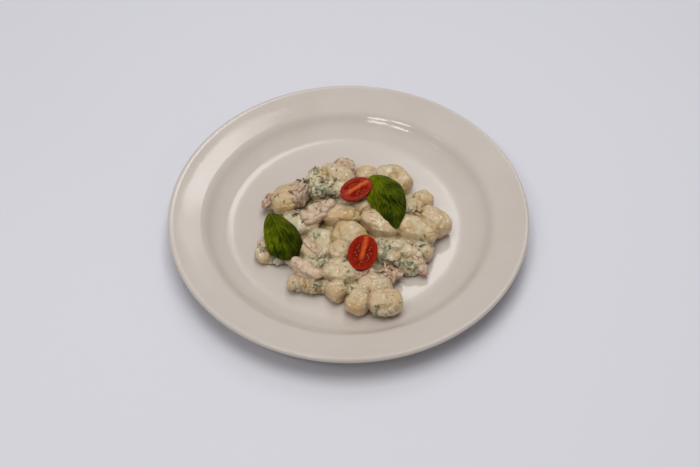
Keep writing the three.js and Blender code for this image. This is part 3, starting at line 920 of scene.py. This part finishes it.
# Small things lie on what is under them
def drop(trees, x, y):
    """The highest surface under a place, with its normal."""
    best = None
    for tree in trees:
        spot, normal, _, _ = tree.ray_cast(Vector((x, y, ABOVE_ALL)), Vector((0, 0, -1)))
        if spot and (best is None or spot.z > best[0].z):
            best = (spot, normal)
    return best


def resting_sheet(trees, middle, ahead, aside):
    """Heights under the middle and the four sides of a small sheet, or None if it hangs over."""
    places = (middle, middle + ahead, middle - ahead, middle + aside, middle - aside)
    under = [drop(trees, spot.x, spot.y) for spot in places]
    if None in under:
        return None
    heights = [spot.z for spot, _ in under]
    lies = max(heights) - min(heights) < SHEET_DROP and min(heights) > LOWEST_SHEET
    return heights if lies else None


def lay_sheet(bm, trees, middle, size, turn, shape, seed):
    """A crumpled sheet on what is under it. shape is lift, curl, bend, depth and size of its folds."""
    length, width = size
    lift, curl, bend, deep, wide = shape
    ahead = Vector((math.cos(turn), math.sin(turn))) * length / 2
    aside = Vector((-math.sin(turn), math.cos(turn))) * width / 2
    heights = resting_sheet(trees, middle, ahead, aside)
    if heights is None:
        return []
    centre, fore, aft, left, right = heights
    along, over = SHEET_STEPS
    verts = bmesh.ops.create_grid(bm, x_segments=along, y_segments=over, size=1)["verts"]
    for vert in verts:
        u, v = vert.co.x, vert.co.y
        narrow = (1 - 0.7 * u * u) * (1 + 0.3 * ripple((u, v, seed), 0.7))
        flat = middle + ahead * u + aside * (v * narrow + bend * u * u * length / width)
        rest = centre + (fore - aft) / 2 * u + (left - right) / 2 * v
        rest += ((fore + aft) / 2 - centre) * u * u + ((left + right) / 2 - centre) * v * v
        fold = deep * ripple((u * length / 2, v * width / 2, seed), wide)
        height = min(rest + lift + curl * v * v + fold, max(heights) + SHEET_RISE)
        vert.co = Vector((flat.x, flat.y, height))
    return verts


def spinach_shape(trees):
    bm = bmesh.new()
    tone, = marks(bm, "tone")
    rng = random.Random(11)
    for x, y, reach, count, main_turn, fresh in SPINACH:
        for number in range(count):
            middle = Vector((x + rng.gauss(0, 0.3) * reach, y + rng.gauss(0, 0.3) * reach))
            size = (reach * rng.uniform(2, 3), reach * rng.uniform(0.5, 1.1))
            turn = math.radians(main_turn + rng.gauss(0, 35))
            shape = (rng.uniform(0, 0.4), rng.uniform(-0.8, 0.8), rng.uniform(-0.5, 0.5), 1.4, 2.8)
            shade = fresh + rng.uniform(-0.25, 0.25)
            for vert in lay_sheet(bm, trees, middle, size, turn, shape, rng.uniform(0, 90)):
                vert[tone] = limited(shade + 0.6 * ripple(vert.co, 2.5, 4))
    bmesh.ops.solidify(bm, geom=bm.faces[:], thickness=SPINACH_THICKNESS)
    bmesh.ops.recalc_face_normals(bm, faces=bm.faces)
    return bm


def torn_shape(trees):
    bm = bmesh.new()
    browned, = marks(bm, "browned")
    rng = random.Random(37)
    for x, y, reach, count, main_turn, brown in TORN:
        for number in range(count):
            middle = Vector((x + rng.gauss(0, 0.5) * reach, y + rng.gauss(0, 0.5) * reach))
            size = (rng.uniform(7, 13), rng.uniform(3, 5))
            turn = math.radians(main_turn + rng.gauss(0, 40))
            shape = (rng.uniform(0.2, 1.2), rng.uniform(-2, 1), rng.uniform(-0.6, 0.6), 1.8, 3.4)
            shade = brown + rng.gauss(0, 0.25)
            for vert in lay_sheet(bm, trees, middle, size, turn, shape, rng.uniform(0, 90)):
                vert[browned] = limited(shade + 0.7 * ripple(vert.co, 3, 6))
    bmesh.ops.solidify(bm, geom=bm.faces[:], thickness=STRIP_THICKNESS)
    bmesh.ops.recalc_face_normals(bm, faces=bm.faces)
    return bm


def meet(trees, aim):
    """Where a line from outside the heap towards a spot in it first meets food, with its normal."""
    out = Vector((aim.x / DOME, (aim.y + HEAP_FORWARD) / DOME, 1)).normalized()
    best = None
    for tree in trees:
        spot, normal, _, away = tree.ray_cast(aim + out * 100, -out)
        if spot and (best is None or away < best[2]):
            best = (spot, normal, away)
    return best


def flecks_shape(trees):
    bm = bmesh.new()
    tone, = marks(bm, "tone")
    rng = random.Random(23)
    aims = []
    for x, y, reach, count in HERBS:
        for number in range(count):
            place_x = x + rng.gauss(0, 0.5) * reach
            place_y = y + rng.gauss(0, 0.5) * reach
            aims.append((Vector((place_x, place_y, HEAP_Z[1])), 1))
    for number in range(LOOSE_HERBS):
        aims.append((Vector((rng.uniform(*HEAP_X), rng.uniform(*HEAP_Y), rng.uniform(*HEAP_Z))), 0.6))
    for aim, scale in aims:
        met = meet(trees, aim)
        if met is None or met[0].z < LOWEST_HERB:
            continue
        long = rng.uniform(0.4, 1) ** 1.6 * 1.6 * scale
        wide = max(0.3, long * rng.uniform(0.25, 0.6))
        upright = Vector((0, 0, 1)).rotation_difference(met[1]).to_matrix()
        turned = upright @ Matrix.Rotation(rng.uniform(0, 6.3), 3, "Z")
        shade = rng.uniform(0, 0.9)
        for vert in bmesh.ops.create_icosphere(bm, subdivisions=2, radius=1)["verts"]:
            uneven = 1 + 0.5 * ripple(vert.co * 2, 1.5, shade * 50)
            flat = Vector((vert.co.x * long * uneven, vert.co.y * wide * uneven, 0))
            flat.z = vert.co.z * HERB_THICKNESS
            flat.y += 0.3 * long * vert.co.x ** 2
            vert.co = met[0] + turned @ flat
            vert[tone] = shade
    return bm


# Tomato halves
def tomato_shape(size, seed):
    bm = bmesh.new()
    names = ("core", "chamber", "skin", "rim", "seed")
    layers = dict(zip(names, marks(bm, *names)))
    around, over = TOMATO_STEPS
    verts = bmesh.ops.create_uvsphere(bm, u_segments=around, v_segments=over, radius=1)["verts"]
    core_from, core_to, core_side = size["core"]
    for vert in verts:
        height = 0
        if vert.co.z > 0:
            reach = math.acos(min(1, vert.co.z)) / (math.pi / 2)
            flat = Vector((vert.co.x, vert.co.y))
            flat = flat.normalized() * reach if flat.length > 1e-6 else flat
            p, q = flat.x, flat.y
            wobble = 0.06 * ripple((p, q, seed), 0.25)
            core = ramp(p, core_from - 0.2, core_from + 0.4) * ramp(p, core_to + 0.08, core_to - 0.1)
            core *= ramp(abs(q - core_side + wobble), 0.26, 0.03)
            chamber = 0
            for along, across, long, wide in size["chambers"]:
                away = math.hypot((p - along) / long, (q - across) / wide) + wobble
                chamber = max(chamber, ramp(away, 1.35, 0.4))
            edge = ramp(reach, 0.93, 1.0)
            height = -0.85 * chamber - 0.55 * edge * edge + 0.25 * core
            height += (0.12 + 0.6 * chamber) * ripple((p, q, seed), 0.13, 2)
            vert[layers["core"]] = core * (1 - chamber)
            vert[layers["chamber"]] = chamber
            # Painted highlight: a thin paler ring just inside the skin
            vert[layers["rim"]] = ramp(reach, 0.93, 0.965) * ramp(reach, 1.0, 0.975)
            vert[layers["skin"]] = ramp(reach, 0.965, 0.995)
            vert.co = Vector((p, q, 0))
        else:
            vert[layers["skin"]] = 1
        reach = (size["half_length"], size["half_width"], size["depth"])
        vert.co = Vector([vert.co[i] * reach[i] for i in range(3)])
        vert.co.z += height
    for along, across, long, wide in size["chambers"]:
        seeds = 6 if long > 0.3 else 2
        for number in range(seeds):
            angle = 2 * math.pi * (number + 0.4 * draw(seed, number)) / seeds
            p = along + (0.5 + 0.2 * draw(seed, number + 40)) * long * math.cos(angle)
            q = across + (0.4 + 0.2 * draw(seed, number + 60)) * wide * math.sin(angle)
            made = bmesh.ops.create_icosphere(bm, subdivisions=2, radius=1)["verts"]
            for vert in made:
                taper = 1 - 0.35 * vert.co.x
                vert.co = Vector((vert.co.x * 0.85, vert.co.y * 0.5 * taper, vert.co.z * 0.36 * taper))
                vert[layers["seed"]] = 1
            spot = (p * size["half_length"], q * size["half_width"], -0.8)
            lay(made, spot, math.degrees(angle) + 60 * draw(seed, number + 20), 8)
    lay(bm.verts, size["at"], size["turn"], size["lean"], size["roll"])
    bmesh.ops.recalc_face_normals(bm, faces=bm.faces)
    return bm


# Basil leaves
def basil_shape(leaf, seed):
    bm = bmesh.new()
    vein, pale_and_lit, groove_shade = marks(bm, "vein", "pale_and_lit", "groove_shade")
    along, over = LEAF_STEPS
    bmesh.ops.create_grid(bm, x_segments=along, y_segments=over, size=0.5)
    bmesh.ops.recalc_face_normals(bm, faces=bm.faces)
    length = sum((Vector(b) - Vector(a)).length for a, b in zip(leaf["midrib"], leaf["midrib"][1:]))
    base, fade, aside = leaf["light_tones"]
    for vert in bm.verts:
        u, v = vert.co.x + 0.5, vert.co.y + 0.5
        spot, reach, bulge = leaf_spot(leaf, u, v)
        away = abs(reach)
        wobble = 0.9 * ripple(spot, 8, seed) + 0.25 * ripple(spot, 3, seed + 3)
        phase = (u * length - leaf["slant"] * away) / leaf["vein_gap"] + wobble
        phase += 0.5 if reach > 0 else 0
        part = phase - math.floor(phase)
        border = leaf["left_width"] * bulge
        inside = ramp(away, 0.3, 2) * ramp(away, border + 0.5, border - 2)
        pillow = math.sin(math.pi * part) ** 0.7
        quilt = lumps((spot.x, spot.y, 0), 3.4, seed + 7)
        crumpled = near(spot.x, spot.y, [leaf["crumpled"]])
        fine = (0.2 + 1.6 * crumpled) * ripple((u * length / 2.4, reach, 0), 2, seed + 5)
        swell = (0.8 + 1.6 * crumpled) * ripple((spot.x, spot.y, 0), 6, seed + 17)
        rib = math.exp(-(away / 0.45) ** 2)
        deep = 0.6 + 1.2 * ripple(spot, 9, seed + 12)
        raised = (deep * pillow + 0.35 * quilt + fine + swell) * inside
        spot.z += raised - 0.5 * math.exp(-(away / 0.8) ** 2) - 0.35
        vert[vein] = limited(rib * (1 - 0.7 * u))
        # Painted light and shade: paler at the stalk, darker towards the tip and the left side, and
        # paler on raised pillows and crumples, over a random tone of the leaf's own
        shade = base - fade * u - aside * reach + 0.7 * ripple(spot, 9, seed)
        vert[pale_and_lit] = limited(shade + 0.3 * (pillow - 0.6) + 0.35 * fine)
        # Painted shade: darker along the vein grooves, between the quilted lumps and in the low spots of
        # the crumpled patch
        sunk_shade = ramp(min(part, 1 - part), 0.2, 0.02) * inside * (0.2 + 1.2 * ripple(spot, 6, seed + 9))
        sunk_shade += 0.3 * inside * (1 - quilt) * ramp(ripple(spot, 7, seed + 14), 0, 0.3)
        vert[groove_shade] = limited(sunk_shade + crumpled * ramp(-fine, 0.1, 0.4) * 0.8)
        vert.co = spot
    bmesh.ops.solidify(bm, geom=bm.faces[:], thickness=LEAF_THICKNESS)
    bmesh.ops.recalc_face_normals(bm, faces=bm.faces)
    return bm


# The ground, the light and the camera
def ground():
    bm = bmesh.new()
    bmesh.ops.create_grid(bm, x_segments=2, y_segments=2, size=4)
    mesh = bpy.data.meshes.new("ground")
    bm.to_mesh(mesh)
    bm.free()
    floor = bpy.data.objects.new("ground", mesh)
    bpy.context.scene.collection.objects.link(floor)
    material = new_material("pale_ground", Roughness=0.6)
    clouds = grain(material, 300, 0.3, 0.7, 1)
    dress(material, "Base Color", blend(material, clouds, paint(219, 218, 225), paint(217, 217, 223)))
    mesh.materials.append(material)


def soft_light(name, towards, distance, size, brightness, aside=0, colour=(1, 1, 1)):
    """A rectangular lamp facing the plate. brightness is what a mirror would show of it."""
    lamp = bpy.data.lights.new(name, "AREA")
    lamp.shape = "RECTANGLE"
    lamp.size, lamp.size_y = size
    lamp.energy = 4 * size[0] * size[1] * brightness
    lamp.color = colour
    shown = bpy.data.objects.new(name, lamp)
    bpy.context.scene.collection.objects.link(shown)
    direction = Vector(towards).normalized()
    turned = direction.to_track_quat("Z", "Y")
    shown.location = direction * distance + turned @ Vector((aside, 0, 0))
    shown.rotation_euler = turned.to_euler()
    return shown


def studio():
    world = bpy.data.worlds.new("surroundings")
    world.use_nodes = True
    background = world.node_tree.nodes["Background"]
    background.inputs["Color"].default_value = (0.97, 0.98, 1.0, 1)
    background.inputs["Strength"].default_value = 0.27
    bpy.context.scene.world = world
    for bearing, height, half_width, half_height, brightness in BACK_LAMPS:
        across, up = math.radians(bearing), math.radians(height)
        towards = (math.sin(across) * math.cos(up), math.cos(across) * math.cos(up), math.sin(up))
        size = [4 * math.tan(math.radians(half)) for half in (half_width, half_height)]
        soft_light("back_lamp", towards, 2.0, size, brightness)
    for name, towards, distance, size, brightness, aside, colour in FRONT_LAMPS:
        soft_light(name, towards, distance, size, brightness, aside, colour)
    ceiling = soft_light("ceiling", (0, 0, 1), 1.6, (1.0, 1.0), 3.65)
    ceiling.visible_glossy = False


def camera():
    lens = bpy.data.cameras.new("camera")
    lens.sensor_width = 36
    lens.lens = CAMERA_LENS
    lens.clip_start = 0.01
    seen = bpy.data.objects.new("camera", lens)
    bpy.context.scene.collection.objects.link(seen)
    seen.location = CAMERA_AT
    seen.rotation_euler = (math.radians(90 - CAMERA_DIP), 0, 0)
    bpy.context.scene.camera = seen
    bpy.context.scene.view_settings.view_transform = "Standard"


def build():
    camera()
    studio()
    ground()
    plate = plate_shape()
    plate_tree = BVHTree.FromBMesh(plate)
    piece(plate, "plate_glazed", glaze(), "plate_glaze", "plate")

    lids = [leaf_below(leaf) for leaf in LEAVES.values()]
    lids += [tomato_below(size) for size in TOMATOES.values()]
    dough = gnocchi_shape()
    meat = meat_shape()
    sauce = sauce_shape(BVHTree.FromBMesh(dough), BVHTree.FromBMesh(meat))
    for bm in (dough, meat, sauce):
        hold(bm, lids, plate_tree)
        bm.normal_update()
    trees = [BVHTree.FromBMesh(bm) for bm in (dough, meat, sauce)]
    torn = torn_shape(trees)
    hold(torn, lids, plate_tree)
    torn.normal_update()
    trees.append(BVHTree.FromBMesh(torn))
    greens = spinach_shape(trees)
    flecks = flecks_shape(trees)
    for bm in (greens, flecks):
        hold(bm, lids, plate_tree)
    whole = joined_tree((dough, meat, sauce, torn, greens))
    ways = upward_ways()
    # Painted shade in creases and gaps
    for bm in (dough, meat, sauce, torn):
        paint_hollow_shade(bm, whole, ways)
    cooked = cooked_meat()
    heap = [
        (dough, "gnocchi", potato_dough()),
        (sauce, "cream_sauce", cream_sauce()),
        (meat, "chicken_pieces", cooked),
        (torn, "torn_strips", cooked),
        (greens, "spinach_leaves", wilted_spinach()),
        (flecks, "herb_flecks", chopped_herbs()),
    ]
    for bm, name, material in heap:
        piece(bm, name, material, "gnocchi_in_sauce", "gnocchi_heap")

    flesh = tomato_flesh()
    for seed, (name, size) in enumerate(TOMATOES.items()):
        half = tomato_shape(size, seed)
        piece(half, name.replace("tomato", "cherry_tomato"), flesh, "tomato_flesh", name)
    green = basil()
    for seed, (name, leaf) in enumerate(LEAVES.items()):
        piece(basil_shape(leaf, seed), name.replace("leaf", "blade"), green, "basil", name)


build()
